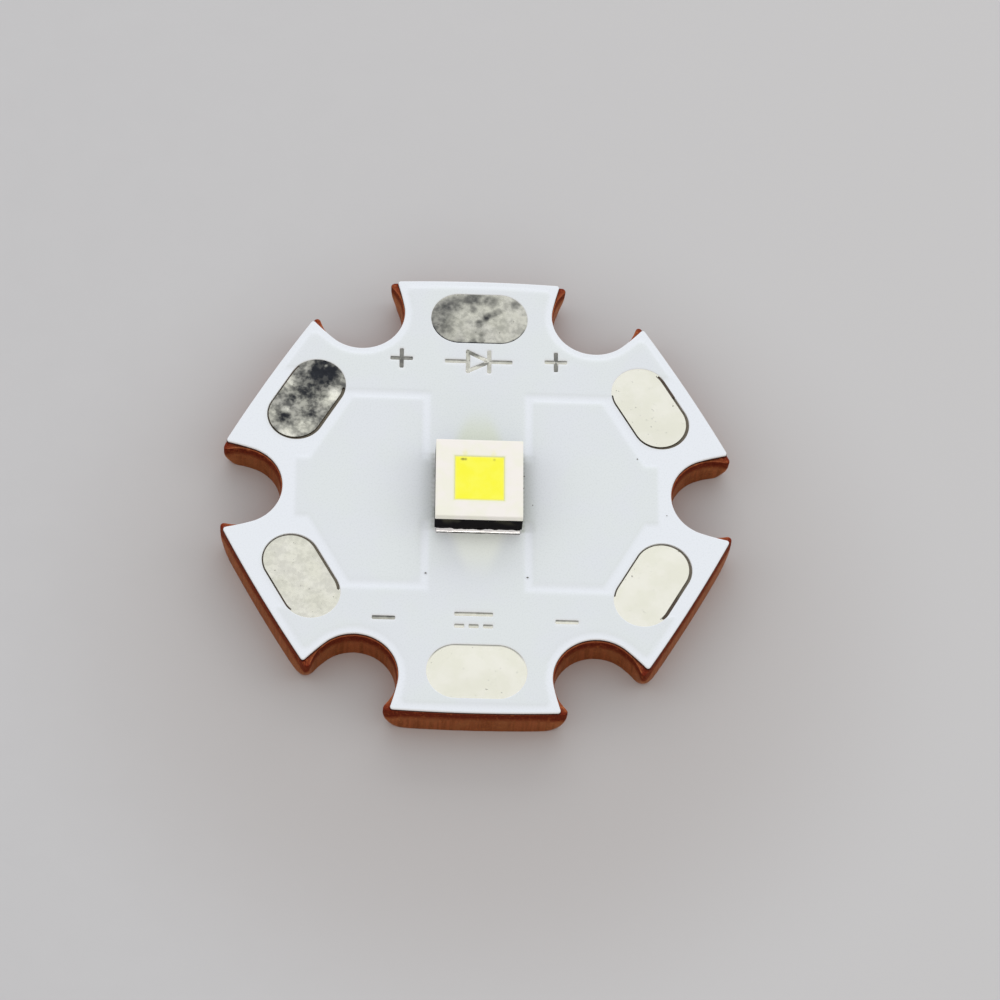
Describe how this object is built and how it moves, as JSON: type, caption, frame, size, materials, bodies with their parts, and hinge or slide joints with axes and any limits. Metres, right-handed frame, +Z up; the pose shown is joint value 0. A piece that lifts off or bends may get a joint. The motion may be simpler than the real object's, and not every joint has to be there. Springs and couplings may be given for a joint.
{
  "type": "star circuit board with power led",
  "caption": "Star-shaped copper-core circuit board with flared screw notches, tinned solder pads and a flat square power LED at its centre.",
  "frame": {"origin": "centre of the board's underside", "axes": "+Z up out of the LED, +X across two opposite screw notches, +Y towards the positive lugs"},
  "size_m": [0.0204, 0.0196, 0.0027],
  "materials": {
    "copper": "punched bare copper, tarnished",
    "insulation": "matt",
    "white_mask": "glossy",
    "tin": "hot-dipped, satin",
    "solder": "bright",
    "plated_metal": "gold plated",
    "dark_ceramic": "matt",
    "chip": "polished",
    "phosphor": "matt",
    "white_silicone": "satin"
  },
  "bodies": {
    "root": {"copper_core": "copper", "dielectric": "insulation", "positive_foil": "copper", "negative_foil": "copper", "solder_mask": "white_mask", "tin_pad_top": "tin", "tin_pad_upper_left": "tin", "tin_pad_lower_left": "tin", "tin_pad_bottom": "tin", "tin_pad_lower_right": "tin", "tin_pad_upper_right": "tin", "anode_solder": "solder", "cathode_solder": "solder", "thermal_solder": "solder", "thermal_terminal": "plated_metal", "anode_lead": "plated_metal", "cathode_lead": "plated_metal", "led_ceramic": "dark_ceramic", "die_attach": "solder", "led_die": "chip", "phosphor_plate": "phosphor", "bond_wire_left": "plated_metal", "bond_wire_right": "plated_metal", "surge_diode": "chip", "surge_wire": "plated_metal", "white_frame": "white_silicone"}
  },
  "joints": []
}
